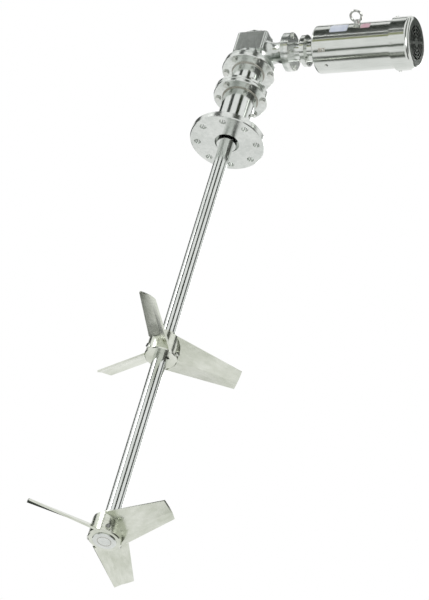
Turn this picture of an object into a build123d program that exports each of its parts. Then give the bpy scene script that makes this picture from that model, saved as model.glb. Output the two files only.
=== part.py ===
from build123d import *
import os
from math import atan2, cos, hypot, radians, sin, tan

# Top-entry tank agitator. Millimetres, +Z up. The origin is the centre of the mounting flange's
# tank-side face. The shaft hangs along -Z and the motor points along +X.

# Fits shared by every piece
seat = 0.05             # between a piece and the bore that holds it
running = 0.08          # between a turning shaft and its bore
float_gap = 0.3         # between other curved faces of different bodies

# Tank mounting flange
flange_diameter = 200.0
flange_thickness = 20.0
flange_bore = 66.0
flange_edge = 2.0
bolt_hole = 18.0
bolt_rim = 11.0         # steel left between a bolt hole and the rim
bolt_circle = flange_diameter - bolt_hole - 2 * bolt_rim
bolt_count = 8
flange_clocking = 10.0

# Pedestal: two tubes, welded plates and the bolted joints between them
tube_wall = 5.0
lower_tube_diameter = 92.0
lower_tube_length = 142.5
base_ring_wall = 6.0
base_ring_height = 9.0
plate_diameter = 146.0
plate_thickness = 10.5
plate_edge = 1.5
upper_tube_diameter = 84.0
upper_tube_length = 77.5
collar_wall = 5.0
collar_height = 10.0
top_plate_diameter = 144.0
pedestal_bolt_circle = 122.0
pedestal_bolt_count = 6
pedestal_bolt = 9.0
port_height = 98.0
port_hole = 8.0
port_hex = 11.0
port_length = 11.0

# Shafts
shaft_diameter = 38.0
output_shaft_diameter = 30.0
input_shaft_diameter = 17.0
motor_shaft_diameter = 16.0
coupling_diameter = 62.0
coupling_length = 46.0
coupling_wall_gap = 4.0
shaft_end_gap = 1.0

# Seal and guide bearing
seal_plate_thickness = 12.0
seal_seat_diameter = 60.0
seal_seat_height = 10.0
seal_rotor_diameter = 54.0
seal_rotor_height = 18.0
collar_diameter = 52.0
shaft_collar_height = 14.0
shaft_collar_drop = 8.0
bearing_width = 15.0
bearing_diameter = 68.0
ball_diameter = 7.5
ball_count = 9
race_wall = 4.0

# Right-angle gearbox
base_flange_thickness = 10.0
drum_diameter = 92.0
drum_height = 32.0
block_back = 46.0
block_front = 42.0
block_width = 84.0
block_height = 70.0
block_corner = 9.0
block_edge = 4.0
drive_height_over_block = 20.0
gear_chamber = 74.6
cover_diameter = 83.0
cover_thickness = 3.5
cover_boss_diameter = 58.0
cover_boss_height = 4.5
cover_screw_circle = 77.0
cover_screw_count = 6
snout_root = 39.0
snout_waist = 28.5
snout_end = 36.0
input_flange_face = 105.0
input_flange_diameter = 105.0
input_flange_thickness = 10.0
input_bolt_circle = 88.0
input_bolt = 8.0
output_bearing_diameter = 62.0
output_bearing_width = 16.0
output_seal_diameter = 52.0
output_seal_height = 7.0
input_bearing_diameter = 40.0
input_bearing_width = 12.0
input_seal_width = 7.0
bearing_spacing = 9.0

# Bevel gears
gear_module = 1.8
gear_teeth = 40
pinion_teeth = 10
face_width = 10.0
gear_hub_diameter = 44.0
gear_hub_length = 5.0
gear_body = 7.0
lock_nut_height = 5.0
lock_nut_diameter = 40.0

# Motor adapter and jaw coupling
neck_diameter = 51.0
neck_length = 30.0
neck_bore = 44.0
adapter_flange_diameter = 86.0
adapter_flange_thickness = 6.0
adapter_bolt_circle = 74.0
adapter_bolt = 6.0
jaw_diameter = 39.0
jaw_hub_length = 12.0
jaw_spider = 9.0
jaw_count = 3

# Motor
motor_diameter = 130.0
motor_neck_diameter = 60.0
motor_neck_length = 30.0
shield_thickness = 14.0
shield_edge = 5.0
frame_wall = 3.5
frame_length = 205.0
stator_length = 120.0
stator_bore = 66.0
stator_setback = 30.0
air_gap = 0.5
rear_shield_thickness = 12.0
rear_shield_lip = 2.0
cover_shell_diameter = 144.0
cover_shell_wall = 1.5
fan_cover_length = 54.0
cover_shoulder = 12.0
shell_screw_head = 7.0
shell_screw_height = 2.2
grille_inner = 14.0
slot_width = 5.2
rib_width = 3.8
slot_rings = 4
spoke_width = 6.0
fan_diameter = 118.0
fan_width = 16.0
fan_blades = 7
fan_hub_diameter = 30.0
motor_bearing_diameter = 40.0
motor_bearing_width = 12.0
foot_plug = 10.0
foot_plug_height = 3.0
foot_plug_setback = 20.0
eye_station = 308.0
eye_clocking = 25.0
eye_diameter = 30.0
eye_wire = 6.0

# Impellers
upper_impeller_drop = 753.0
impeller_spacing = 580.0
impeller_diameter = 410.0
hub_diameter = 84.0
hub_height = 58.0
hub_edge = 2.5
hub_sleeve_diameter = 50.0
hub_sleeve_height = 16.0
blade_count = 3
blade_root_chord = 92.0
blade_tip_chord = 50.0
blade_root_pitch = 34.0
blade_tip_pitch = 23.0
blade_thickness = 5.0
blade_camber = 13.0
blade_flap_share = 0.36
blade_corner = 5.0
upper_blade_angle = 38.0
lower_blade_angle = 98.0
set_screw = 8.0
set_screw_height = 12.0
set_screw_lag = 40.0
set_screw_head = 5.0
key_width = 10.0
key_height = 8.0
key_length = 36.0
end_cap_thickness = 3.0
end_cap_diameter = 60.0

# Heights up the drive
lower_tube_top = flange_thickness + lower_tube_length
lower_plate_top = lower_tube_top + plate_thickness
upper_plate_top = lower_plate_top + plate_thickness
upper_tube_top = upper_plate_top + upper_tube_length
top_plate_top = upper_tube_top + plate_thickness
base_flange_top = top_plate_top + base_flange_thickness
block_bottom = base_flange_top + drum_height
block_top = block_bottom + block_height
drive_height = block_bottom + drive_height_over_block
drive_axis = Axis((0, 0, drive_height), (1, 0, 0))

# Stations along the drive
input_flange_back = input_flange_face - input_flange_thickness
neck_start = input_flange_face + input_flange_thickness
neck_end = neck_start + neck_length
motor_flange = neck_end + adapter_flange_thickness
motor_neck_start = motor_flange + adapter_flange_thickness
shield_start = motor_neck_start + motor_neck_length
frame_start = shield_start + shield_thickness
frame_end = frame_start + frame_length
rear_shield_end = frame_end + rear_shield_thickness
fan_cover_start = frame_end + rear_shield_lip
fan_cover_end = fan_cover_start + fan_cover_length
fan_start = rear_shield_end + 5 * float_gap
fan_end = fan_start + fan_width

# Radii used in several places
shaft_radius = shaft_diameter / 2
output_radius = output_shaft_diameter / 2
input_radius = input_shaft_diameter / 2
motor_shaft_radius = motor_shaft_diameter / 2
motor_radius = motor_diameter / 2
plate_bore = bearing_diameter + 2 * seat

os.makedirs("parts", exist_ok=True)


def across(station, turn=0.0):
    """A plane square to the drive axis, local x along +Y and local y up before the turn."""
    x_way = (0, cos(radians(turn)), sin(radians(turn)))
    return Plane(origin=(station, 0, drive_height), x_dir=x_way, z_dir=(1, 0, 0))


def level(height):
    return Plane.XY.offset(height)


def save(builder, name):
    builder.part.label = name
    export_step(builder.part, f"parts/{name}.step")


def turned_ring(inner, outer, start, end, axis=Axis.Z):
    """A plain ring between two radii, from start to end along its axis."""
    offset = axis.position.Z
    with BuildPart() as ring:
        with BuildSketch(Plane.XZ):
            with BuildLine():
                if axis.direction.Z > 0.5:
                    Polyline((inner, start), (outer, start), (outer, end), (inner, end), close=True)
                else:
                    low, high = offset + inner, offset + outer
                    Polyline((start, low), (start, high), (end, high), (end, low), close=True)
            make_face()
        revolve(axis=axis)
    return ring


def hex_bolts(plane, circle, count, size, grip, nut, start_angle=0.0):
    """Hexagon bolts whose heads stand on the plane and whose shanks go back through the grip."""
    with BuildPart() as bolts:
        with BuildSketch(plane):
            with PolarLocations(circle / 2, count, start_angle):
                RegularPolygon(0.85 * size, 6)
        extrude(amount=0.65 * size)
        with BuildSketch(plane):
            with PolarLocations(circle / 2, count, start_angle):
                Circle(size / 2)
        extrude(amount=-grip)
        if nut:
            with BuildSketch(plane.offset(-grip)):
                with PolarLocations(circle / 2, count, start_angle):
                    RegularPolygon(0.85 * size, 6)
            extrude(amount=-0.8 * size)
    return bolts


# --- Pedestal -----------------------------------------------------------------------------------

with BuildPart() as mounting_flange:
    with BuildSketch():
        Circle(flange_diameter / 2)
        Circle(flange_bore / 2, mode=Mode.SUBTRACT)
        with PolarLocations(bolt_circle / 2, bolt_count, flange_clocking):
            Circle(bolt_hole / 2, mode=Mode.SUBTRACT)
    extrude(amount=flange_thickness)
    rims = mounting_flange.edges().filter_by(GeomType.CIRCLE).sort_by(SortBy.RADIUS)[-2:]
    chamfer(rims, flange_edge)
save(mounting_flange, "mounting_flange")

base_ring_inner = lower_tube_diameter / 2 + seat
base_ring_outer = base_ring_inner + base_ring_wall
with BuildPart() as base_ring:
    with BuildSketch(Plane.XZ):
        with BuildLine():
            Polyline(
                (base_ring_inner, flange_thickness),
                (base_ring_outer, flange_thickness),
                (base_ring_outer, flange_thickness + base_ring_height / 2),
                (base_ring_inner + 1, flange_thickness + base_ring_height),
                (base_ring_inner, flange_thickness + base_ring_height),
                close=True,
            )
        make_face()
    revolve(axis=Axis.Z)
save(base_ring, "pedestal_base_ring")

lower_tube_inner = lower_tube_diameter / 2 - tube_wall
with BuildPart() as lower_tube:
    with BuildSketch(level(flange_thickness)):
        Circle(lower_tube_diameter / 2)
        Circle(lower_tube_inner, mode=Mode.SUBTRACT)
    extrude(amount=lower_tube_length)
    with BuildSketch(Plane.YZ.offset(lower_tube_inner - tube_wall)):
        with Locations((0, port_height)):
            Circle(port_hole / 2)
    extrude(amount=3 * tube_wall, mode=Mode.SUBTRACT)
save(lower_tube, "lower_pedestal_tube")

with BuildPart() as port_fitting:
    with BuildSketch(Plane.YZ.offset(lower_tube_diameter / 2)):
        with Locations((0, port_height)):
            RegularPolygon(port_hex / 2, 6)
    extrude(amount=port_length / 2)
    with BuildSketch(Plane.YZ.offset(lower_tube_inner)):
        with Locations((0, port_height)):
            Circle(port_hole / 2 - seat)
    extrude(amount=tube_wall + port_length)
    chamfer(port_fitting.edges().group_by(Axis.X)[-1], 1.5)
save(port_fitting, "seal_port_nipple")


def bolted_plate(bottom, diameter, bore, bolt_bore):
    with BuildPart() as plate:
        with BuildSketch(level(bottom)):
            Circle(diameter / 2)
            Circle(bore / 2, mode=Mode.SUBTRACT)
            with PolarLocations(pedestal_bolt_circle / 2, pedestal_bolt_count, flange_clocking):
                Circle(bolt_bore / 2, mode=Mode.SUBTRACT)
        extrude(amount=plate_thickness)
        outer = plate.edges().filter_by(GeomType.CIRCLE).sort_by(SortBy.RADIUS)[-2:]
        chamfer(outer, plate_edge)
    return plate


bolt_clear = pedestal_bolt + 2 * float_gap
save(bolted_plate(lower_tube_top, plate_diameter, plate_bore, bolt_clear), "lower_tube_plate")
top_plate_bore = coupling_diameter + 2 * coupling_wall_gap
save(bolted_plate(upper_tube_top, top_plate_diameter, top_plate_bore, bolt_clear), "gearbox_plate")

collar_inner = upper_tube_diameter / 2 + seat
collar_outer = collar_inner + collar_wall
with BuildPart() as upper_tube_plate:
    add(bolted_plate(lower_plate_top, plate_diameter, plate_bore, bolt_clear).part)
    # Hub that the upper tube is welded into
    with BuildSketch(Plane.XZ):
        with BuildLine():
            Polyline(
                (collar_inner, upper_plate_top),
                (collar_outer, upper_plate_top),
                (collar_outer, upper_plate_top + collar_height / 2),
                (collar_inner + collar_wall / 4, upper_plate_top + collar_height),
                (collar_inner, upper_plate_top + collar_height),
                close=True,
            )
        make_face()
    revolve(axis=Axis.Z)
save(upper_tube_plate, "upper_tube_plate")

upper_tube_inner = upper_tube_diameter / 2 - tube_wall
save(
    turned_ring(upper_tube_inner, upper_tube_diameter / 2, upper_plate_top, upper_tube_top),
    "upper_pedestal_tube",
)

bolted_joints = {
    "mid_flange_bolts": (lower_tube_top, 2 * plate_thickness),
    "gearbox_flange_bolts": (upper_tube_top, plate_thickness + base_flange_thickness),
}
for name, (underside, grip) in bolted_joints.items():
    save(
        hex_bolts(
            Plane(origin=(0, 0, underside), x_dir=(1, 0, 0), z_dir=(0, 0, -1)),
            pedestal_bolt_circle,
            pedestal_bolt_count,
            pedestal_bolt,
            grip,
            True,
            -flange_clocking,
        ),
        name,
    )

# --- Shaft seal and guide bearing ---------------------------------------------------------------

seal_plate_top = flange_thickness + seal_plate_thickness
with BuildPart() as seal_plate:
    with BuildSketch(level(flange_thickness)):
        Circle(lower_tube_inner - seat)
        Circle(seal_seat_diameter / 2 - 4, mode=Mode.SUBTRACT)
    extrude(amount=seal_plate_thickness)
    with BuildSketch(level(seal_plate_top)):
        Circle(seal_seat_diameter / 2 + 6)
        Circle(seal_seat_diameter / 2 + seat, mode=Mode.SUBTRACT)
    extrude(amount=seal_seat_height)
save(seal_plate, "seal_plate")

seal_face = seal_plate_top + seal_seat_height
seal_bore = shaft_radius + 3
save(
    turned_ring(seal_bore, seal_seat_diameter / 2, seal_plate_top, seal_face),
    "seal_seat",
)
save(
    turned_ring(
        shaft_radius + seat,
        seal_rotor_diameter / 2,
        seal_face + float_gap,
        seal_face + float_gap + seal_rotor_height,
    ),
    "seal_rotor",
)
save(
    turned_ring(
        shaft_radius + seat,
        collar_diameter / 2,
        -shaft_collar_drop,
        shaft_collar_height - shaft_collar_drop,
    ),
    "shaft_collar",
)

bearing_top = upper_plate_top - (2 * plate_thickness - bearing_width) / 2
bearing_bottom = bearing_top - bearing_width
inner_race_outer = shaft_radius + seat + race_wall
outer_race_inner = bearing_diameter / 2 - race_wall
ball_track = (inner_race_outer + outer_race_inner) / 2
ball_room = (outer_race_inner - inner_race_outer) / 2
save(
    turned_ring(outer_race_inner, bearing_diameter / 2, bearing_bottom, bearing_top),
    "guide_bearing_outer_race",
)
save(
    turned_ring(shaft_radius + seat, inner_race_outer, bearing_bottom, bearing_top),
    "guide_bearing_inner_race",
)
with BuildPart() as balls:
    with Locations((0, 0, (bearing_top + bearing_bottom) / 2)):
        with PolarLocations(ball_track, ball_count):
            Cylinder(min(ball_diameter / 2, ball_room - float_gap), bearing_width - 3)
save(balls, "guide_bearing_rollers")

# --- Gearbox ------------------------------------------------------------------------------------

block_mid = (block_front - block_back) / 2
snout_waist_station = (block_front + input_flange_back) / 2 + 6
input_bearing_seat = input_flange_back - input_seal_width - 2 * input_bearing_width - bearing_spacing
with BuildPart() as gearbox_housing:
    with BuildSketch(level(top_plate_top)):
        Circle(top_plate_diameter / 2 - 2)
        with PolarLocations(pedestal_bolt_circle / 2, pedestal_bolt_count, flange_clocking):
            Circle(bolt_clear / 2, mode=Mode.SUBTRACT)
    extrude(amount=base_flange_thickness)
    with BuildSketch(level(base_flange_top)):
        Circle(drum_diameter / 2)
    extrude(amount=drum_height)
    with BuildSketch(level(block_bottom)):
        with Locations((block_mid, 0)):
            RectangleRounded(block_front + block_back, block_width, block_corner)
    extrude(amount=block_height)
    fillet(gearbox_housing.edges().group_by(Axis.Z)[-1], block_edge)
    with BuildSketch(Plane.XZ):
        with BuildLine():
            root = (block_front - block_edge, drive_height + snout_root)
            waist = (snout_waist_station, drive_height + snout_waist)
            end = (input_flange_back, drive_height + snout_end)
            ThreePointArc(root, waist, end)
            Polyline(end, (input_flange_back, drive_height), (root[0], drive_height), root)
        make_face()
    revolve(axis=drive_axis)
    with BuildSketch(across(input_flange_back)):
        Circle(input_flange_diameter / 2)
    extrude(amount=input_flange_thickness)
    # Chamber from the top, then the bores for bearings and seals
    with BuildSketch(level(block_bottom - gear_hub_length)):
        Circle(gear_chamber / 2)
    extrude(amount=block_height + gear_hub_length, mode=Mode.SUBTRACT)
    with BuildSketch(level(top_plate_top + output_seal_height)):
        Circle(output_bearing_diameter / 2 + seat)
    extrude(amount=block_bottom - top_plate_top - output_seal_height, mode=Mode.SUBTRACT)
    with BuildSketch(level(top_plate_top)):
        Circle(output_seal_diameter / 2 + seat)
    extrude(amount=output_seal_height, mode=Mode.SUBTRACT)
    with BuildSketch(across(0)):
        Circle(input_bearing_diameter / 2 + seat)
    extrude(amount=input_flange_face, mode=Mode.SUBTRACT)
    with BuildSketch(across(input_flange_back)):
        with PolarLocations(input_bolt_circle / 2, 4, 45):
            Circle(input_bolt / 2 + float_gap)
    extrude(amount=input_flange_thickness, mode=Mode.SUBTRACT)
save(gearbox_housing, "gearbox_housing")

cover_top = block_top + cover_thickness
with BuildPart() as gearbox_cover:
    with BuildSketch(level(block_top)):
        Circle(cover_diameter / 2)
    extrude(amount=cover_thickness)
    with BuildSketch(level(cover_top)):
        Circle(cover_boss_diameter / 2)
    extrude(amount=cover_boss_height)
    fillet(gearbox_cover.edges().group_by(Axis.Z)[-1], cover_boss_height / 2)
save(gearbox_cover, "gearbox_top_cover")

with BuildPart() as cover_screws:
    with BuildSketch(level(cover_top)):
        with PolarLocations(cover_screw_circle / 2, cover_screw_count):
            Circle(3.2)
    extrude(amount=2.4)
save(cover_screws, "top_cover_screws")

output_bearing_bottom = top_plate_top + output_seal_height
output_bearing_top = output_bearing_bottom + output_bearing_width
save(
    turned_ring(
        output_radius + running,
        output_bearing_diameter / 2,
        output_bearing_bottom,
        output_bearing_top,
    ),
    "output_bearing",
)
save(
    turned_ring(output_radius + running, output_seal_diameter / 2, top_plate_top, output_bearing_bottom),
    "output_oil_seal",
)
front_bearing_end = input_bearing_seat + input_bearing_width
rear_bearing_start = front_bearing_end + bearing_spacing
rear_bearing_end = rear_bearing_start + input_bearing_width
input_outer = input_bearing_diameter / 2
with BuildPart() as input_bearings:
    for start in (input_bearing_seat, rear_bearing_start):
        end = start + input_bearing_width
        add(turned_ring(input_radius + running, input_outer, start, end, drive_axis).part)
save(input_bearings, "input_bearings")
save(
    turned_ring(
        input_radius + running, input_outer, rear_bearing_end, input_flange_back, drive_axis
    ),
    "input_oil_seal",
)

# --- Bevel gears --------------------------------------------------------------------------------

cone_length = gear_module * hypot(gear_teeth, pinion_teeth) / 2
addendum = 0.8 * gear_module
dedendum = 1.1 * gear_module
tooth_base = 2.9
tooth_pitch_width = 2.2
tooth_tip = 1.2
small_end = (cone_length - face_width) / cone_length


def bevel_gear_part(teeth, mate_teeth, phase, bore, body, hub_radius, hub_end):
    """A straight bevel gear with its apex at the origin and its back towards +Z."""
    pitch_radius = gear_module * teeth / 2
    apex_height = gear_module * mate_teeth / 2
    lean = atan2(apex_height, pitch_radius)
    large = Plane(
        origin=(pitch_radius, 0, apex_height),
        x_dir=(0, 1, 0),
        z_dir=(-cos(lean), 0, -sin(lean)),
    )
    tooth_planes = [(large, 1.0), (large.offset(face_width), small_end)]
    with BuildPart() as tooth:
        for plane, share in tooth_planes:
            with BuildSketch(plane):
                with BuildLine():
                    Polyline(
                        (-tooth_base / 2 * share, -(dedendum + 0.4) * share),
                        (tooth_base / 2 * share, -(dedendum + 0.4) * share),
                        (tooth_pitch_width / 2 * share, 0),
                        (tooth_tip / 2 * share, addendum * share),
                        (-tooth_tip / 2 * share, addendum * share),
                        (-tooth_pitch_width / 2 * share, 0),
                        close=True,
                    )
                make_face()
        loft()
    outer_root = (pitch_radius - dedendum * sin(lean), apex_height + dedendum * cos(lean))
    inner_root = (outer_root[0] * small_end, outer_root[1] * small_end)
    outline = [(bore, inner_root[1]), inner_root, outer_root]
    if body > 0:
        back = outer_root[1] + body * cos(lean)
        outline += [(outer_root[0] - body * sin(lean), back), (hub_radius, back)]
    outline += [(hub_radius, hub_end), (bore, hub_end)]
    with BuildPart() as gear:
        with BuildSketch(Plane.XZ):
            with BuildLine():
                Polyline(*outline, close=True)
            make_face()
        revolve(axis=Axis.Z)
        for index in range(teeth):
            add(tooth.part.rotate(Axis.Z, phase + index * 360 / teeth))
    return gear.part


gear_hub_end = drive_height - block_bottom + gear_hub_length - float_gap
gear_seat = Plane(origin=(0, 0, drive_height), x_dir=(1, 0, 0), z_dir=(0, 0, -1))
gear_shape = bevel_gear_part(
    gear_teeth,
    pinion_teeth,
    180 / gear_teeth,
    output_radius + seat,
    gear_body,
    gear_hub_diameter / 2,
    gear_hub_end,
)
with BuildPart() as bevel_gear:
    add(gear_seat.location * gear_shape)
save(bevel_gear, "bevel_gear")

pinion_root = gear_module * pinion_teeth / 2 - dedendum * cos(atan2(pinion_teeth, gear_teeth))
pinion_hub_end = input_bearing_seat - float_gap
pinion_seat = Plane(origin=(0, 0, drive_height), x_dir=(0, 0, -1), z_dir=(1, 0, 0))
pinion_shape = bevel_gear_part(pinion_teeth, gear_teeth, 0, 0, 0, pinion_root, pinion_hub_end)
jaw_start = input_flange_face - 2
jaw_mid = jaw_start + jaw_hub_length
with BuildPart() as pinion_shaft:
    add(pinion_seat.location * pinion_shape)
    with BuildSketch(across(pinion_hub_end)):
        Circle(input_radius)
    extrude(amount=jaw_mid - shaft_end_gap - pinion_hub_end)
save(pinion_shaft, "pinion_shaft")

# --- Turning shaft line -------------------------------------------------------------------------

gear_lean = atan2(pinion_teeth, gear_teeth)
gear_face = drive_height - small_end * (gear_module * pinion_teeth / 2 + dedendum * cos(gear_lean))
coupling_top = upper_tube_top
coupling_bottom = coupling_top - coupling_length
coupling_middle = (coupling_top + coupling_bottom) / 2
save(
    turned_ring(0, output_radius, coupling_middle + shaft_end_gap / 2, gear_face + lock_nut_height),
    "gearbox_output_shaft",
)
with BuildPart() as lock_nut:
    with BuildSketch(level(gear_face)):
        Circle(lock_nut_diameter / 2)
        Circle(output_radius + seat, mode=Mode.SUBTRACT)
        with PolarLocations(lock_nut_diameter / 2, 4, 45):
            Rectangle(5, 5, mode=Mode.SUBTRACT)
    extrude(amount=lock_nut_height)
save(lock_nut, "gear_lock_nut")

with BuildPart() as coupling:
    with BuildSketch(level(coupling_bottom)):
        Circle(coupling_diameter / 2)
    extrude(amount=coupling_length)
    chamfer(coupling.edges(), 1.5)
    with BuildSketch(level(coupling_bottom)):
        Circle(shaft_radius + seat)
    extrude(amount=coupling_length / 2, mode=Mode.SUBTRACT)
    with BuildSketch(level(coupling_middle)):
        Circle(output_radius + seat)
    extrude(amount=coupling_length / 2, mode=Mode.SUBTRACT)
save(coupling, "shaft_coupling")

key_start = set_screw_height + set_screw
lower_hub_bottom = -(upper_impeller_drop + impeller_spacing)
upper_hub_bottom = -upper_impeller_drop
agitator_shaft_end = lower_hub_bottom + end_cap_thickness
with BuildPart() as agitator_shaft:
    with BuildSketch(level(agitator_shaft_end)):
        Circle(shaft_radius)
    extrude(amount=coupling_middle - shaft_end_gap / 2 - agitator_shaft_end)
    chamfer(agitator_shaft.edges().group_by(Axis.Z)[0], 1.0)
    for hub_bottom in (upper_hub_bottom, lower_hub_bottom):
        with BuildSketch(level(hub_bottom + key_start)):
            with Locations((shaft_radius, 0)):
                Rectangle(key_height, key_width)
        extrude(amount=key_length, mode=Mode.SUBTRACT)
save(agitator_shaft, "agitator_shaft")

# --- Impellers ----------------------------------------------------------------------------------


def blade_plane(station, angle, height, pitch):
    """Square to the blade: local x runs down towards the leading edge, local y is up."""
    turn = radians(angle)
    tilt = radians(pitch)
    chord_way = (-sin(turn) * cos(tilt), cos(turn) * cos(tilt), -sin(tilt))
    origin = (station * cos(turn), station * sin(turn), height)
    return Plane(origin=origin, x_dir=chord_way, z_dir=(cos(turn), sin(turn), 0))


def impeller_blade(hub_bottom, angle):
    """A bent plate that narrows and flattens towards its round tip."""
    middle = hub_bottom + hub_height / 2
    stations = [
        (hub_diameter / 4, blade_root_chord, blade_root_pitch),
        (impeller_diameter / 2 + blade_corner, blade_tip_chord, blade_tip_pitch),
    ]
    drop = radians(blade_camber)
    half = blade_thickness / 2
    with BuildPart() as blade:
        for station, chord, pitch in stations:
            bend = chord / 2 - chord * blade_flap_share
            reach = chord * blade_flap_share
            lead = (bend + reach * cos(drop), -reach * sin(drop))
            skew = (half * sin(drop), half * cos(drop))
            with BuildSketch(blade_plane(station, angle, middle, pitch)):
                with BuildLine():
                    Polyline(
                        (-chord / 2, -half),
                        (bend - half * tan(drop / 2), -half),
                        (lead[0] - skew[0], lead[1] - skew[1]),
                        (lead[0] + skew[0], lead[1] + skew[1]),
                        (bend + half * tan(drop / 2), half),
                        (-chord / 2, half),
                        close=True,
                    )
                make_face()
        loft(ruled=True)
        with Locations((0, 0, middle)):
            Cylinder(impeller_diameter / 2, 3 * hub_height, mode=Mode.INTERSECT)
            Cylinder(hub_diameter / 2 + seat, 3 * hub_height, mode=Mode.SUBTRACT)
    return blade


def impeller_hub(hub_bottom, screw_angles):
    sleeve_bottom = hub_bottom + hub_height
    with BuildPart() as hub:
        with BuildSketch(level(hub_bottom)):
            Circle(hub_diameter / 2)
        extrude(amount=hub_height)
        chamfer(hub.edges(), hub_edge)
        with BuildSketch(level(sleeve_bottom)):
            Circle(hub_sleeve_diameter / 2)
        extrude(amount=hub_sleeve_height)
        with BuildSketch(level(hub_bottom)):
            Circle(shaft_radius + seat)
            with Locations((shaft_radius, 0)):
                Rectangle(key_height + 2 * seat, key_width + 2 * seat)
        extrude(amount=hub_height + hub_sleeve_height, mode=Mode.SUBTRACT)
        for angle in screw_angles:
            with BuildSketch(radial_plane(angle, hub_bottom + set_screw_height)):
                Circle(set_screw / 2 + seat)
            extrude(amount=hub_diameter, mode=Mode.SUBTRACT)
    return hub


def radial_plane(angle, height, station=0.0):
    turn = radians(angle)
    origin = (station * cos(turn), station * sin(turn), height)
    return Plane(origin=origin, x_dir=(-sin(turn), cos(turn), 0), z_dir=(cos(turn), sin(turn), 0))


blade_step = 360 / blade_count
impellers = {
    "upper": (upper_hub_bottom, upper_blade_angle),
    "lower": (lower_hub_bottom, lower_blade_angle),
}
for place, (hub_bottom, first_angle) in impellers.items():
    screw_angles = [first_angle - set_screw_lag + index * blade_step for index in range(blade_count)]
    save(impeller_hub(hub_bottom, screw_angles), f"{place}_impeller_hub")
    for index in range(blade_count):
        blade = impeller_blade(hub_bottom, first_angle + index * blade_step)
        save(blade, f"{place}_impeller_blade_{index + 1}")

with BuildPart() as set_screws:
    for hub_bottom, first_angle in impellers.values():
        for index in range(blade_count):
            angle = first_angle - set_screw_lag + index * blade_step
            height = hub_bottom + set_screw_height
            with BuildSketch(radial_plane(angle, height, shaft_radius + seat)):
                Circle(set_screw / 2)
            extrude(amount=hub_diameter / 2 - shaft_radius)
            with BuildSketch(radial_plane(angle, height, hub_diameter / 2 + seat)):
                RegularPolygon(0.85 * set_screw, 6)
            extrude(amount=set_screw_head)
save(set_screws, "hub_set_screws")

with BuildPart() as hub_keys:
    for hub_bottom, first_angle in impellers.values():
        with BuildSketch(level(hub_bottom + key_start)):
            with Locations((shaft_radius, 0)):
                Rectangle(key_height, key_width)
        extrude(amount=key_length)
save(hub_keys, "impeller_keys")

with BuildPart() as end_cap:
    with BuildSketch(level(lower_hub_bottom - end_cap_thickness)):
        Circle(end_cap_diameter / 2)
    extrude(amount=end_cap_thickness)
    chamfer(end_cap.edges().group_by(Axis.Z)[0], 1.5)
save(end_cap, "shaft_end_cap")

# --- Motor adapter and jaw coupling -------------------------------------------------------------

with BuildPart() as motor_adapter:
    with BuildSketch(across(input_flange_face)):
        Circle(input_flange_diameter / 2)
        with PolarLocations(input_bolt_circle / 2, 4, 45):
            Circle(input_bolt / 2 + float_gap, mode=Mode.SUBTRACT)
    extrude(amount=input_flange_thickness)
    with BuildSketch(across(neck_start)):
        Circle(neck_diameter / 2)
    extrude(amount=neck_length)
    with BuildSketch(across(neck_end)):
        Circle(adapter_flange_diameter / 2)
        with PolarLocations(adapter_bolt_circle / 2, 4):
            Circle(adapter_bolt / 2 + float_gap, mode=Mode.SUBTRACT)
    extrude(amount=adapter_flange_thickness)
    with BuildSketch(across(input_flange_face)):
        Circle(neck_bore / 2)
    extrude(amount=motor_flange - input_flange_face, mode=Mode.SUBTRACT)
save(motor_adapter, "motor_adapter")

save(
    hex_bolts(
        across(neck_start),
        input_bolt_circle,
        4,
        input_bolt,
        2 * input_flange_thickness,
        True,
        45,
    ),
    "adapter_flange_bolts",
)
save(
    hex_bolts(
        across(motor_neck_start),
        adapter_bolt_circle,
        4,
        adapter_bolt,
        2 * adapter_flange_thickness,
        True,
    ),
    "motor_flange_bolts",
)

jaw_far = jaw_mid + jaw_spider
jaw_end = jaw_far + jaw_hub_length
save(turned_ring(input_radius + seat, jaw_diameter / 2, jaw_start, jaw_mid, drive_axis), "input_jaw_hub")
save(turned_ring(4, jaw_diameter / 2 - 1, jaw_mid, jaw_far, drive_axis), "jaw_spider")
save(turned_ring(motor_shaft_radius + seat, jaw_diameter / 2, jaw_far, jaw_end, drive_axis), "motor_jaw_hub")

# --- Motor --------------------------------------------------------------------------------------

motor_bearing_start = shield_start - motor_bearing_width + shield_thickness
with BuildPart() as drive_end_shield:
    with BuildSketch(across(motor_flange)):
        Circle(adapter_flange_diameter / 2)
        with PolarLocations(adapter_bolt_circle / 2, 4):
            Circle(adapter_bolt / 2 + float_gap, mode=Mode.SUBTRACT)
    extrude(amount=adapter_flange_thickness)
    with BuildSketch(across(motor_neck_start)):
        Circle(motor_neck_diameter / 2)
    extrude(amount=motor_neck_length)
    with BuildSketch(across(shield_start)):
        Circle(motor_radius)
    extrude(amount=shield_thickness)
    face_rim = drive_end_shield.edges().filter_by(GeomType.CIRCLE).group_by(Axis.X)[-2]
    fillet(face_rim.sort_by(SortBy.RADIUS)[-1], shield_edge)
    with BuildSketch(across(motor_flange)):
        Circle(motor_shaft_radius + 4)
    extrude(amount=frame_start - motor_flange, mode=Mode.SUBTRACT)
    with BuildSketch(across(motor_bearing_start)):
        Circle(motor_bearing_diameter / 2 + seat)
    extrude(amount=motor_bearing_width, mode=Mode.SUBTRACT)
save(drive_end_shield, "drive_end_shield")

save(
    turned_ring(motor_radius - frame_wall, motor_radius, frame_start, frame_end, drive_axis),
    "motor_frame",
)
stator_start = frame_start + stator_setback
stator_end = stator_start + stator_length
save(
    turned_ring(
        stator_bore / 2, motor_radius - frame_wall - seat, stator_start, stator_end, drive_axis
    ),
    "stator_core",
)
save(
    turned_ring(
        motor_shaft_radius + seat, stator_bore / 2 - air_gap, stator_start, stator_end, drive_axis
    ),
    "rotor_core",
)
save(turned_ring(0, motor_shaft_radius, jaw_far + shaft_end_gap, fan_end, drive_axis), "motor_shaft")

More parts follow.
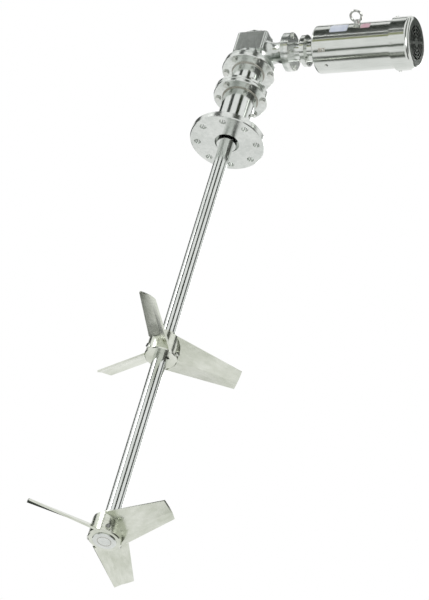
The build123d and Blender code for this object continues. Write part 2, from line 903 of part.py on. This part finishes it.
rear_bearing = rear_shield_end - motor_bearing_width
with BuildPart() as rear_shield:
    with BuildSketch(across(frame_end)):
        Circle(motor_radius)
    extrude(amount=rear_shield_lip)
    with BuildSketch(across(frame_end + rear_shield_lip)):
        Circle(cover_shell_diameter / 2 - cover_shell_wall - seat)
    extrude(amount=rear_shield_thickness - rear_shield_lip)
    with BuildSketch(across(frame_end)):
        Circle(motor_bearing_diameter / 2 + seat)
    extrude(amount=rear_shield_thickness, mode=Mode.SUBTRACT)
save(rear_shield, "rear_end_shield")

motor_bearing_outer = motor_bearing_diameter / 2
with BuildPart() as motor_bearings:
    for start in (motor_bearing_start, rear_bearing):
        end = start + motor_bearing_width
        bore = motor_shaft_radius + running
        add(turned_ring(bore, motor_bearing_outer, start, end, drive_axis).part)
save(motor_bearings, "motor_bearings")

with BuildPart() as fan_cover:
    shell_radius = cover_shell_diameter / 2
    with BuildSketch(across(fan_cover_start)):
        Circle(shell_radius)
    extrude(amount=fan_cover_length)
    fillet(fan_cover.edges().group_by(Axis.X)[-1], cover_shoulder)
    mouth = fan_cover.faces().sort_by(Axis.X)[0]
    offset(amount=-cover_shell_wall, openings=mouth)
    # Sectors of arc slots between four spokes
    with BuildSketch(across(fan_cover_end)):
        for ring in reversed(range(slot_rings)):
            inner = grille_inner + ring * (slot_width + rib_width)
            Circle(inner + slot_width)
            Circle(inner, mode=Mode.SUBTRACT)
        for turn in (45, 135):
            Rectangle(cover_shell_diameter, spoke_width, rotation=turn, mode=Mode.SUBTRACT)
    extrude(amount=-2 * cover_shell_wall, mode=Mode.SUBTRACT)
save(fan_cover, "fan_cover")

with BuildPart() as cooling_fan:
    with BuildSketch(across(fan_start)):
        Circle(fan_diameter / 2 - 6)
    extrude(amount=2.5)
    with BuildSketch(across(fan_start)):
        Circle(fan_hub_diameter / 2)
        with PolarLocations((fan_diameter / 2 + fan_hub_diameter / 2) / 2 - 1, fan_blades):
            Rectangle((fan_diameter - fan_hub_diameter) / 2, 2.5)
    extrude(amount=fan_width)
    with BuildSketch(across(fan_start)):
        Circle(motor_shaft_radius + seat)
    extrude(amount=fan_width, mode=Mode.SUBTRACT)
save(cooling_fan, "cooling_fan")


def drive_radial_plane(station, angle, reach):
    """Square to a spoke of the motor; angle 0 is towards -Y and 90 is up."""
    turn = radians(angle)
    way = (0, -cos(turn), sin(turn))
    origin = (station, way[1] * reach, drive_height + way[2] * reach)
    return Plane(origin=origin, x_dir=(1, 0, 0), z_dir=way)


screw_station = (fan_cover_start + rear_shield_end) / 2
with BuildPart() as fan_cover_screws:
    for angle in (45, 135, 225, 315):
        with BuildSketch(drive_radial_plane(screw_station, angle, cover_shell_diameter / 2)):
            Circle(shell_screw_head / 2)
        extrude(amount=shell_screw_height)
save(fan_cover_screws, "fan_cover_screws")

with BuildPart() as drain_plug:
    with BuildSketch(drive_radial_plane(frame_start + foot_plug_setback, -90, motor_radius)):
        RegularPolygon(foot_plug / 2, 6)
    extrude(amount=foot_plug_height)
save(drain_plug, "motor_drain_plug")

with BuildPart() as lifting_eye:
    eye_centre = motor_radius + eye_diameter / 2 + eye_wire
    with BuildSketch(drive_radial_plane(eye_station, eye_clocking, motor_radius)):
        Circle(eye_wire * 1.4)
    extrude(amount=eye_wire * 1.6)
    eye_plane = drive_radial_plane(eye_station, eye_clocking, eye_centre)
    ring_plane = Plane(origin=eye_plane.origin, x_dir=(1, 0, 0), z_dir=eye_plane.y_dir)
    with BuildSketch(ring_plane.offset(-eye_wire / 2)):
        Circle((eye_diameter + eye_wire) / 2)
        Circle((eye_diameter - eye_wire) / 2, mode=Mode.SUBTRACT)
    extrude(amount=eye_wire)
    ring_faces = lifting_eye.faces().filter_by(Axis((0, 0, 0), tuple(ring_plane.z_dir)))
    chamfer(ring_faces.edges().filter_by(GeomType.CIRCLE), eye_wire / 4)
save(lifting_eye, "motor_lifting_eye")
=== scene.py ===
import bpy
import bmesh
import math
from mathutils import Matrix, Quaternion, Vector


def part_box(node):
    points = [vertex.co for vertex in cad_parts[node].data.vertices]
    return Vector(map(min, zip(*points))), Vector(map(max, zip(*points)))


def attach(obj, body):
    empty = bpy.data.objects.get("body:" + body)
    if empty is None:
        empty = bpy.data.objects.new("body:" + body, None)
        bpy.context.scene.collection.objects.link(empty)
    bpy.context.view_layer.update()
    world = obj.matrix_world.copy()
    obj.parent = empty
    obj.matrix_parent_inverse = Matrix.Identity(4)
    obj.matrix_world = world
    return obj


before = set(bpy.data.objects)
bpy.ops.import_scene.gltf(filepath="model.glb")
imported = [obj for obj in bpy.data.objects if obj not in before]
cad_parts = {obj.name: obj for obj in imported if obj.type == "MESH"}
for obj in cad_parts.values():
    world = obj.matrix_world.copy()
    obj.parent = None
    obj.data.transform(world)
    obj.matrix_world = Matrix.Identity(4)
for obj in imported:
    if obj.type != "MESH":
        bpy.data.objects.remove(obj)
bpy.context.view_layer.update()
print("frame loaded with", len(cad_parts), "nodes")

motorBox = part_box("motor_frame")
driveHeight = (motorBox[0][2] + motorBox[1][2]) / 2
motorRadius = (motorBox[1][2] - motorBox[0][2]) / 2


class Socket:  # a node output that takes part in sums
    def __init__(self, tree, out):
        self.tree, self.out = tree, out

    def _join(self, operation, first, second=None, clamp=False):
        node = self.tree.nodes.new("ShaderNodeMath")
        node.operation = operation
        node.use_clamp = clamp
        for slot, value in zip(node.inputs, (first, second)):
            if isinstance(value, Socket):
                self.tree.links.new(value.out, slot)
            elif value is not None:
                slot.default_value = value
        return Socket(self.tree, node.outputs[0])

    def __add__(self, other):
        return self._join("ADD", self, other)

    def __sub__(self, other):
        return self._join("SUBTRACT", self, other)

    def __mul__(self, other):
        return self._join("MULTIPLY", self, other)

    def __rsub__(self, other):
        return self._join("SUBTRACT", other, self)

    __radd__ = __add__
    __rmul__ = __mul__

    def limit(self):
        return self._join("ADD", self, 0.0, clamp=True)


class NodeSet:  # makes nodes in one tree
    def __init__(self, tree):
        self.tree = tree

    def node(self, kind, settings=None, inputs=None, output=0):
        node = self.tree.nodes.new("ShaderNode" + kind)
        for key, value in (settings or {}).items():
            if key == "stops":
                self._stops(node.color_ramp, value)
            else:
                setattr(node, key, value)
        for key, value in (inputs or {}).items():
            if isinstance(value, Socket):
                self.tree.links.new(value.out, node.inputs[key])
            else:
                node.inputs[key].default_value = value
        return Socket(self.tree, node.outputs[output])

    def _stops(self, ramp, stops):
        while len(ramp.elements) < len(stops):
            ramp.elements.new(0.5)
        for element, (place, colour) in zip(ramp.elements, stops):
            element.position = place
            element.color = (*colour, 1)


class Finish(NodeSet):  # one material and the textures it is made of
    def __init__(self, name):
        self.material = bpy.data.materials.new(name)
        self.material.use_nodes = True
        super().__init__(self.material.node_tree)
        self.shader = self.tree.nodes["Principled BSDF"]

    def place(self, scale=(1, 1, 1)):  # position on the piece itself, stretched by scale
        where = self.node("TexCoord", output="Object")
        return self.node("Mapping", inputs={"Vector": where, "Scale": scale})

    def noise(self, where, scale, detail=3.0, roughness=0.55):
        values = {"Vector": where, "Scale": scale, "Detail": detail, "Roughness": roughness}
        return self.node("TexNoise", inputs=values)

    def ramp(self, value, stops):
        return self.node("ValToRGB", {"stops": stops}, {"Fac": value})

    def bump(self, height, strength, distance):
        values = {"Height": height, "Strength": strength, "Distance": distance}
        return self.node("Bump", inputs=values)

    def feed(self, name, value):
        if isinstance(value, Socket):
            self.tree.links.new(value.out, self.shader.inputs[name])
        else:
            self.shader.inputs[name].default_value = value


# how each steel surface looks: two tints, lowest and highest roughness, grain and bump
steelFinishes = {
    "polishedSteelUpright": dict(
        tints=((0.60, 0.63, 0.60), (0.80, 0.82, 0.80)), rough=(0.10, 0.19),
        grain=(60, 60, 1.2), grainScale=14, bump=0.02,
    ),
    "polishedSteelAlong": dict(
        tints=((0.54, 0.57, 0.53), (0.76, 0.78, 0.75)), rough=(0.10, 0.19),
        grain=(2.0, 60, 60), grainScale=12, bump=0.03,
    ),
    "turnedSteel": dict(
        tints=((0.56, 0.59, 0.56), (0.82, 0.84, 0.81)), rough=(0.14, 0.26),
        grain=(9, 9, 22), grainScale=9, bump=0.04,
    ),
    "castSteel": dict(
        tints=((0.46, 0.49, 0.46), (0.72, 0.75, 0.72)), rough=(0.18, 0.30),
        grain=(14, 14, 14), grainScale=12, bump=0.07,
    ),
    "bladeSteel": dict(
        tints=((0.52, 0.55, 0.46), (0.84, 0.86, 0.79)), rough=(0.15, 0.26),
        grain=(5, 5, 24), grainScale=6, bump=0.025,
    ),
    "fastenerSteel": dict(
        tints=((0.50, 0.52, 0.48), (0.80, 0.81, 0.78)), rough=(0.14, 0.26),
        grain=(80, 80, 80), grainScale=12, bump=0.04,
    ),
    "weldSteel": dict(
        tints=((0.30, 0.28, 0.22), (0.62, 0.62, 0.58)), rough=(0.24, 0.45),
        grain=(70, 70, 70), grainScale=20, bump=0.2,
    ),
    "innerSteel": dict(
        tints=((0.20, 0.21, 0.20), (0.34, 0.35, 0.34)), rough=(0.30, 0.50),
        grain=(30, 30, 30), grainScale=14, bump=0.05,
    ),
}


# how much of the tint comes from streaks and how much from clouds, for every steel
steelMix = {
    "streakShare": 0.55,
    "cloudShare": 0.6,
    "darken": 0.08,
    "cloudScale": 9.0,
    "bumpDistance": 0.001,
}


def steel(
    name, tints, rough, grain, grainScale, bump,
    streakShare, cloudShare, darken, cloudScale, bumpDistance,
):
    finish = Finish(name)
    streaks = finish.noise(finish.place(grain), grainScale, 4.0)
    clouds = finish.noise(finish.place(), cloudScale, 3.0)
    mix = (streakShare * streaks + cloudShare * clouds - darken).limit()
    finish.feed("Base Color", finish.ramp(mix, ((0.25, tints[0]), (0.75, tints[1]))))
    finish.feed("Metallic", 1.0)
    spread = rough[1] - rough[0]
    finish.feed("Roughness", rough[0] + spread * streaks)
    finish.feed("Normal", finish.bump(streaks, bump, bumpDistance))
    return finish.material


# matt surfaces: dark and light tint, lowest roughness, scale of the clouds and bump
mattFinishes = {
    "sealRubber": dict(
        dark=(0.012, 0.012, 0.012), light=(0.03, 0.03, 0.03), rough=0.55, scale=160, bump=0.2,
    ),
    "carbonFace": dict(
        dark=(0.02, 0.02, 0.022), light=(0.05, 0.05, 0.055), rough=0.35, scale=90, bump=0.1,
    ),
    "fanPlastic": dict(
        dark=(0.02, 0.02, 0.02), light=(0.045, 0.045, 0.045), rough=0.45, scale=120, bump=0.1,
    ),
    "coreIron": dict(
        dark=(0.07, 0.07, 0.075), light=(0.14, 0.14, 0.145), rough=0.5, scale=70, bump=0.2,
    ),
    "plateSilver": dict(
        dark=(0.62, 0.68, 0.80), light=(0.82, 0.86, 0.94), rough=0.35, scale=40, bump=0.05,
    ),
    "plateRose": dict(
        dark=(0.66, 0.36, 0.44), light=(0.80, 0.58, 0.64), rough=0.4, scale=60, bump=0.05,
    ),
}
mattMix = {"roughSpread": 0.2, "bumpDistance": 0.0006}


def matt(name, dark, light, rough, scale, bump, roughSpread, bumpDistance):
    finish = Finish(name)
    cloud = finish.noise(finish.place(), scale, 4.0)
    finish.feed("Base Color", finish.ramp(cloud, ((0.3, dark), (0.7, light))))
    finish.feed("Roughness", rough + roughSpread * cloud)
    finish.feed("Normal", finish.bump(cloud, bump, bumpDistance))
    return finish.material


finishes = {name: steel(name, **values, **steelMix) for name, values in steelFinishes.items()}
for name, values in mattFinishes.items():
    finishes[name] = matt(name, **values, **mattMix)
print("made", len(finishes), "finishes")

# which nodes get which finish; impellers and inner parts are settled by finishFor
nodeFinish = {
    "polishedSteelUpright": ("agitator_shaft", "lower_pedestal_tube", "upper_pedestal_tube"),
    "polishedSteelAlong": ("motor_frame", "fan_cover", "drive_end_shield"),
    "turnedSteel": (
        "mounting_flange", "lower_tube_plate", "upper_tube_plate", "gearbox_plate",
        "pedestal_base_ring", "motor_adapter", "shaft_collar", "seal_plate", "shaft_end_cap",
    ),
    "castSteel": ("gearbox_housing", "gearbox_top_cover", "rear_end_shield"),
    "fastenerSteel": (
        "adapter_flange_bolts", "motor_flange_bolts", "mid_flange_bolts", "gearbox_flange_bolts",
        "hub_set_screws", "top_cover_screws", "fan_cover_screws", "motor_drain_plug",
        "motor_lifting_eye", "seal_port_nipple",
    ),
    "sealRubber": ("output_oil_seal", "input_oil_seal", "jaw_spider"),
    "carbonFace": ("seal_seat",),
    "fanPlastic": ("cooling_fan",),
    "coreIron": ("stator_core", "rotor_core"),
}


def finishFor(node):
    for name, nodes in nodeFinish.items():
        if node in nodes:
            return name
    return "bladeSteel" if "impeller_" in node and "keys" not in node else "innerSteel"


for node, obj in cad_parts.items():
    obj.data.materials.clear()
    obj.data.materials.append(finishes[finishFor(node)])
print("finishes given to", len(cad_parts), "nodes")


def addPiece(name, mesh, finish, body, bevel=0.0):
    mesh.materials.append(finishes[finish])
    piece = bpy.data.objects.new(name, mesh)
    bpy.context.scene.collection.objects.link(piece)
    if bevel:
        rounding = piece.modifiers.new("rounding", "BEVEL")
        rounding.width = bevel
        rounding.segments = 3
        rounding.limit_method = "ANGLE"
    for face in mesh.polygons:
        face.use_smooth = True
    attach(piece, body)
    return piece


def sideways(axis):  # two directions square to the axis
    first = Vector((0, 0, 1)) if abs(axis.z) < 0.5 else Vector((1, 0, 0))
    first = (first - axis * first.dot(axis)).normalized()
    return first, axis.cross(first)


def revolve(made, profile, centre, axis, steps, swell=lambda step: 0.0):
    centre, axis = Vector(centre), Vector(axis).normalized()
    first, second = sideways(axis)
    rings = []
    middle = sum(radius for radius, _ in profile) / len(profile)
    for step in range(steps):
        angle = 2 * math.pi * step / steps
        out = first * math.cos(angle) + second * math.sin(angle)
        grow = 1 + swell(step)
        ring = []
        for radius, height in profile:
            reach = middle + (radius - middle) * grow
            ring.append(made.verts.new(centre + out * reach + axis * height * grow))
        rings.append(ring)
    count = len(profile)
    for step in range(steps):
        near, far = rings[step], rings[(step + 1) % steps]
        for place in range(count):
            after = (place + 1) % count
            made.faces.new((near[place], near[after], far[after], far[place]))


def finishMesh(name, made):
    bmesh.ops.remove_doubles(made, verts=made.verts, dist=1e-6)
    bmesh.ops.recalc_face_normals(made, faces=made.faces)
    mesh = bpy.data.meshes.new(name)
    made.to_mesh(mesh)
    made.free()
    return mesh


# weld beads where the tubes meet their flanges
weldBeads = {
    "beadRadius": 0.0022,
    "sink": 0.35,
    "sides": 10,
    "ripple": 0.16,
    "ripplePitch": 0.0032,
    "stepsPerRipple": 3,
    "beads": (
        # name, plate node, which end of its box the bead lies on
        ("lowerTubeBottomWeld", "pedestal_base_ring", 1),
        ("lowerTubeTopWeld", "lower_tube_plate", 0),
        ("upperTubeTopWeld", "gearbox_plate", 0),
    ),
}


def makeWelds(beadRadius, sink, sides, ripple, ripplePitch, stepsPerRipple, beads):
    for name, node, end in beads:
        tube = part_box("lower_pedestal_tube" if name.startswith("lower") else "upper_pedestal_tube")
        tubeRadius = (tube[1][0] - tube[0][0]) / 2
        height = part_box(node)[end][2]
        profile = []
        for side in range(sides):
            angle = 2 * math.pi * side / sides
            reach = tubeRadius + beadRadius * (sink + math.cos(angle))
            profile.append((reach, beadRadius * math.sin(angle)))
        steps = stepsPerRipple * int(2 * math.pi * tubeRadius / ripplePitch)
        made = bmesh.new()
        revolve(
            made, profile, (0, 0, height), (0, 0, 1), steps,
            lambda step: ripple * (step % stepsPerRipple == 0),
        )
        addPiece(name, finishMesh(name, made), "weldSteel", "housing")


makeWelds(**weldBeads)
print("weld beads made")

# washers under the bolt heads of the pedestal, the gearbox flange and the motor adapter
boltWashers = {
    "thickness": 0.0012,
    "rim": 0.0003,
    "steps": 32,
    "adapterSeat": 0.010,
    "motorSeat": 0.006,
    "sets": (
        # name, bolt circle, bolts, first angle, inner and outer radius
        ("pedestalWashers", 0.122, 6, 10, 0.0046, 0.0092),
        ("adapterWashers", 0.088, 4, 45, 0.0041, 0.0082),
        ("motorWashers", 0.074, 4, 0, 0.0031, 0.0060),
    ),
}


def makeWashers(thickness, rim, steps, adapterSeat, motorSeat, sets):
    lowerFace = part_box("lower_tube_plate")[0][2]
    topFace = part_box("gearbox_plate")[0][2]
    adapterStart, adapterEnd = (corner[0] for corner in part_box("motor_adapter"))
    spots = {
        "pedestalWashers": ((lowerFace, -1), (topFace, -1)),
        "adapterWashers": ((adapterStart + adapterSeat, 1),),
        "motorWashers": ((adapterEnd + motorSeat, 1),),
    }
    for name, circle, bolts, firstAngle, inner, outer in sets:
        made = bmesh.new()
        for face, side in spots[name]:
            for bolt in range(bolts):
                angle = math.radians(firstAngle + 360 * bolt / bolts)
                across = circle / 2 * math.cos(angle), circle / 2 * math.sin(angle)
                if name == "pedestalWashers":
                    centre, axis = (across[0], across[1], face), (0, 0, side)
                else:
                    centre, axis = (face, across[0], driveHeight + across[1]), (side, 0, 0)
                profile = (
                    (inner, 0), (outer, 0), (outer, thickness - rim),
                    (outer - rim, thickness), (inner, thickness),
                )
                revolve(made, profile, centre, axis, steps)
        addPiece(name, finishMesh(name, made), "fastenerSteel", "housing")


makeWashers(**boltWashers)
print("washers made")

# two bare plates on the motor, the left one wider, each held by four small rivets
motorPlates = {
    "plates": (
        # name, first and last station, middle angle above the front, width round the motor, finish
        ("ratingPlateBlank", 0.236, 0.286, 9, 0.030, "plateSilver"),
        ("sidePlateBlank", 0.322, 0.348, 11, 0.020, "plateRose"),
    ),
    "thickness": 0.0006,
    "lift": 0.0001,
    "corner": 0.002,
    "columns": 12,
    "rows": 10,
    "rivetRadius": 0.0014,
    "rivetHeight": 0.0008,
    "rivetInset": 0.0035,
    "rivetRings": 5,
    "rivetSteps": 16,
}


def onMotor(station, angle, reach):
    turned = math.radians(angle)
    return Vector((station, -math.cos(turned) * reach, driveHeight + math.sin(turned) * reach))


def makeDome(made, station, angle, reach, radius, height, rings, steps):
    profile = [(0.0, -height / 2)]
    for ring in range(rings + 1):
        lean = math.pi / 2 * ring / rings
        profile.append((radius * math.cos(lean), height * math.sin(lean)))
    axis = onMotor(0, angle, 1) - onMotor(0, angle, 0)
    revolve(made, profile, onMotor(station, angle, reach), axis, steps)


def makePlates(
    plates, thickness, lift, corner, columns, rows,
    rivetRadius, rivetHeight, rivetInset, rivetRings, rivetSteps,
):
    inner = motorRadius + lift
    cut = corner / 2
    for name, first, last, middle, width, finish in plates:
        half = math.degrees(width / 2 / motorRadius)
        made = bmesh.new()
        grid = []
        for row in range(rows + 1):
            line = []
            for column in range(columns + 1):
                station = first + (last - first) * column / columns
                angle = middle - half + 2 * half * row / rows
                if row in (0, rows) and column in (0, columns):
                    station += cut if column == 0 else -cut
                    angle += math.degrees(cut / motorRadius) * (1 if row == 0 else -1)
                line.append(made.verts.new(onMotor(station, angle, inner)))
            grid.append(line)
        for row in range(rows):
            for column in range(columns):
                made.faces.new((
                    grid[row][column], grid[row][column + 1],
                    grid[row + 1][column + 1], grid[row + 1][column],
                ))
        plate = addPiece(name, finishMesh(name, made), finish, "housing")
        solid = plate.modifiers.new("thickness", "SOLIDIFY")
        solid.thickness = thickness
        solid.offset = 1 if plate.data.polygons[0].normal.y < 0 else -1
        rivets = bmesh.new()
        inset = math.degrees(rivetInset / motorRadius)
        for station in (first + rivetInset, last - rivetInset):
            for angle in (middle - half + inset, middle + half - inset):
                makeDome(
                    rivets, station, angle, inner + thickness,
                    rivetRadius, rivetHeight, rivetRings, rivetSteps,
                )
        rivetsName = name.replace("Blank", "Rivets")
        addPiece(
            rivetsName, finishMesh(rivetsName, rivets),
            "fastenerSteel", "housing",
        )


makePlates(**motorPlates)
print("bare plates made")

# earth terminal low on the drive end of the motor: a small bracket with its screw
earthTerminal = {
    "station": 0.0165,
    "angle": -48,
    "width": 0.010,
    "length": 0.018,
    "height": 0.004,
    "screwRadius": 0.0034,
    "screwHeight": 0.003,
    "screwSink": 0.0004,
    "screwSides": 6,
    "crown": 0.8,
    "footSink": 0.0006,
    "stepShare": 0.45,
    "slope": 0.001,
    "bevel": 0.0006,
}


def makeEarthTerminal(
    station, angle, width, length, height, screwRadius, screwHeight, screwSink,
    screwSides, crown, footSink, stepShare, slope, bevel,
):
    start = motorBox[0][0] + station
    out = onMotor(0, angle, 1) - onMotor(0, angle, 0)
    along, across = Vector((1, 0, 0)), out.cross(Vector((1, 0, 0)))
    foot = onMotor(start, angle, motorRadius)
    base = height * stepShare
    made = bmesh.new()
    outline = (
        (-length / 2, -footSink), (length / 2, -footSink), (length / 2, base),
        (slope, base), (-slope, height), (-length / 2, height),
    )
    sides = []
    for side in (-width / 2, width / 2):
        line = []
        for x, z in outline:
            line.append(made.verts.new(foot + along * x + out * z + across * side))
        sides.append(line)
    made.faces.new(sides[0])
    made.faces.new(list(reversed(sides[1])))
    for place in range(len(outline)):
        after = (place + 1) % len(outline)
        made.faces.new((sides[0][place], sides[0][after], sides[1][after], sides[1][place]))
    addPiece(
        "earthTerminalBracket", finishMesh("earthTerminalBracket", made),
        "weldSteel", "housing", bevel=bevel,
    )
    screw = bmesh.new()
    profile = (
        (0.0, base - screwSink), (screwRadius, base - screwSink),
        (screwRadius, base + screwHeight * crown),
        (screwRadius * crown, base + screwHeight), (0.0, base + screwHeight),
    )
    revolve(screw, profile, foot + along * length / 4, out, screwSides)
    addPiece(
        "earthTerminalScrew", finishMesh("earthTerminalScrew", screw),
        "fastenerSteel", "housing",
    )


makeEarthTerminal(**earthTerminal)
print("earth terminal made")

# shallow turned ring on the underside of the bottom hub's cap
hubRing = {"radius": 0.017, "wire": 0.0007, "stretch": 1.4, "sink": 0.4, "sides": 8, "steps": 64}


def makeHubRing(radius, wire, stretch, sink, sides, steps):
    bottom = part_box("shaft_end_cap")[0][2]
    made = bmesh.new()
    profile = []
    for side in range(sides):
        angle = 2 * math.pi * side / sides
        profile.append((radius + wire * stretch * math.cos(angle), wire * math.sin(angle)))
    revolve(made, profile, (0, 0, bottom + wire * sink), (0, 0, 1), steps)
    addPiece(
        "hubCapRing", finishMesh("hubCapRing", made),
        "weldSteel", "agitator_shaft_line",
    )


makeHubRing(**hubRing)
print("hub ring made")

# camera: below the drive, looking up along the shaft
cameraSetup = {
    "target": (-0.048, 0.2665, -0.3139),
    "azimuth": 29.05,
    "elevation": -39.23,
    "distance": 9.219,
    "roll": 16.66,
    "lens": 210,
    "clipEnd": 60,
}


def makeCamera(target, azimuth, elevation, distance, roll, lens, clipEnd):
    data = bpy.data.cameras.new("studioCamera")
    data.lens = lens
    data.clip_end = clipEnd
    camera = bpy.data.objects.new("studioCamera", data)
    bpy.context.scene.collection.objects.link(camera)
    turn, lift = math.radians(azimuth), math.radians(elevation)
    level = math.cos(lift)
    back = Vector((math.sin(turn) * level, -math.cos(turn) * level, math.sin(lift)))
    aim = back.to_track_quat("Z", "Y")
    camera.location = Vector(target) + back * distance
    camera.rotation_euler = (Quaternion(back, math.radians(roll)) @ aim).to_euler()
    bpy.context.scene.camera = camera


makeCamera(**cameraSetup)
print("camera set")

# studio: white surroundings, a pale floor far below, soft lamps and dark cards for the streaks
studio = {
    "floorHeight": -14.0,
    "floorSize": 120.0,
    "worldStrength": 0.6,
    "lamps": (
        # place, aim, size, watts
        ((-3.0, -4.5, 2.5), (0, 0, -0.2), 2.5, 70),
        ((4.5, -3.0, -2.0), (0.1, 0, 0), 2.5, 50),
        ((0.5, 3.5, 2.0), (0, 0, -0.4), 2.5, 50),
    ),
    "cardRadius": 6.0,
    "cardColumns": 8,
    "cardRows": 10,
    "mattRoughness": 0.9,
    "floorShine": 0.9,
    "cards": (
        # turn from the front towards the motor, first and last, then rise, first and last, shade
        (-116, -84, -26, 78, (0.02, 0.03, 0.02)),
        (-35, -13, 8, 21, (0.02, 0.03, 0.02)),
        (-35, -13, 24, 80, (0.02, 0.03, 0.02)),
        (-42, -8, -3, 6, (0.34, 0.36, 0.14)),
        (24, 46, -26, 80, (0.03, 0.04, 0.02)),
        (86, 106, -26, 78, (0.05, 0.06, 0.05)),
        (138, 186, 14, 66, (0.09, 0.10, 0.09)),
        (205, 232, -26, 30, (0.05, 0.06, 0.05)),
        (-55, -8, -52, -42, (0.08, 0.10, 0.07)),
        (-140, -60, -76, -64, (0.08, 0.09, 0.07)),
        (60, 130, -60, -32, (0.10, 0.10, 0.09)),
    ),
}


def makeWorld(strength):
    world = bpy.data.worlds.new("studioWorld")
    bpy.context.scene.world = world
    world.use_nodes = True
    nodes = NodeSet(world.node_tree)
    background = nodes.tree.nodes["Background"]
    background.inputs["Color"].default_value = (1, 1, 1, 1)
    seen = nodes.node("LightPath", output="Is Camera Ray")
    glossy = nodes.node("LightPath", output="Is Glossy Ray")
    through = nodes.node("LightPath", output="Is Transmission Ray")
    plain = (seen + glossy + through).limit()
    level = 1 - (1 - plain) * (1 - strength)
    nodes.tree.links.new(level.out, background.inputs["Strength"])


def makeSheet(name, corners, material, faces=((0, 1, 2, 3),)):
    mesh = bpy.data.meshes.new(name)
    mesh.from_pydata(corners, [], faces)
    mesh.materials.append(material)
    sheet = bpy.data.objects.new(name, mesh)
    bpy.context.scene.collection.objects.link(sheet)
    return sheet


def plainMaterial(name, colour, roughness):
    finish = Finish(name)
    finish.feed("Base Color", (*colour, 1))
    finish.feed("Roughness", roughness)
    return finish.material


def floorMaterial(name, roughness, shine):
    finish = Finish(name)
    finish.feed("Base Color", (0.9, 0.9, 0.9, 1))
    finish.feed("Roughness", roughness)
    seen = finish.node("LightPath", output="Is Camera Ray")
    glossy = finish.node("LightPath", output="Is Glossy Ray")
    through = finish.node("LightPath", output="Is Transmission Ray")
    glow = finish.node("Emission", inputs={"Color": (1, 1, 1, 1), "Strength": 1.0})
    lit = Socket(finish.tree, finish.shader.outputs[0])
    plain = (seen + shine * glossy + through).limit()
    both = finish.node("MixShader", inputs={0: plain, 1: lit, 2: glow})
    finish.tree.links.new(both.out, finish.tree.nodes["Material Output"].inputs["Surface"])
    return finish.material


def makeCard(name, radius, columns, rows, turns, rises, material):
    corners, faces = [], []
    for row in range(rows + 1):
        rise = math.radians(rises[0] + (rises[1] - rises[0]) * row / rows)
        for column in range(columns + 1):
            turn = math.radians(turns[0] + (turns[1] - turns[0]) * column / columns)
            reach = radius * math.cos(rise)
            height = radius * math.sin(rise)
            corners.append((math.sin(turn) * reach, -math.cos(turn) * reach, height))
    for row in range(rows):
        for column in range(columns):
            first = row * (columns + 1) + column
            faces.append((first, first + 1, first + columns + 2, first + columns + 1))
    sheet = makeSheet(name, corners, material, faces)
    sheet.visible_camera = False
    sheet.visible_shadow = False
    sheet.visible_diffuse = False


def makeStudio(
    floorHeight, floorSize, worldStrength, lamps, cardRadius, cardColumns, cardRows,
    mattRoughness, floorShine, cards,
):
    makeWorld(worldStrength)
    half = floorSize / 2
    corners = [(x * half, y * half, floorHeight) for x, y in ((-1, -1), (1, -1), (1, 1), (-1, 1))]
    makeSheet("floor", corners, floorMaterial("paleFloor", mattRoughness, floorShine))
    for index, (turnFrom, turnTo, riseFrom, riseTo, shade) in enumerate(cards):
        name = f"card{index}"
        material = plainMaterial(name, shade, mattRoughness)
        turns, rises = (turnFrom, turnTo), (riseFrom, riseTo)
        makeCard(name, cardRadius, cardColumns, cardRows, turns, rises, material)
    for index, (place, aim, size, watts) in enumerate(lamps):
        light = bpy.data.lights.new(f"lamp{index}", "AREA")
        light.size = size
        light.energy = watts
        lamp = bpy.data.objects.new(f"lamp{index}", light)
        bpy.context.scene.collection.objects.link(lamp)
        lamp.location = place
        lamp.rotation_euler = (Vector(place) - Vector(aim)).to_track_quat("Z", "Y").to_euler()


makeStudio(**studio)
bpy.context.scene.view_settings.view_transform = "Standard"
print("studio ready")
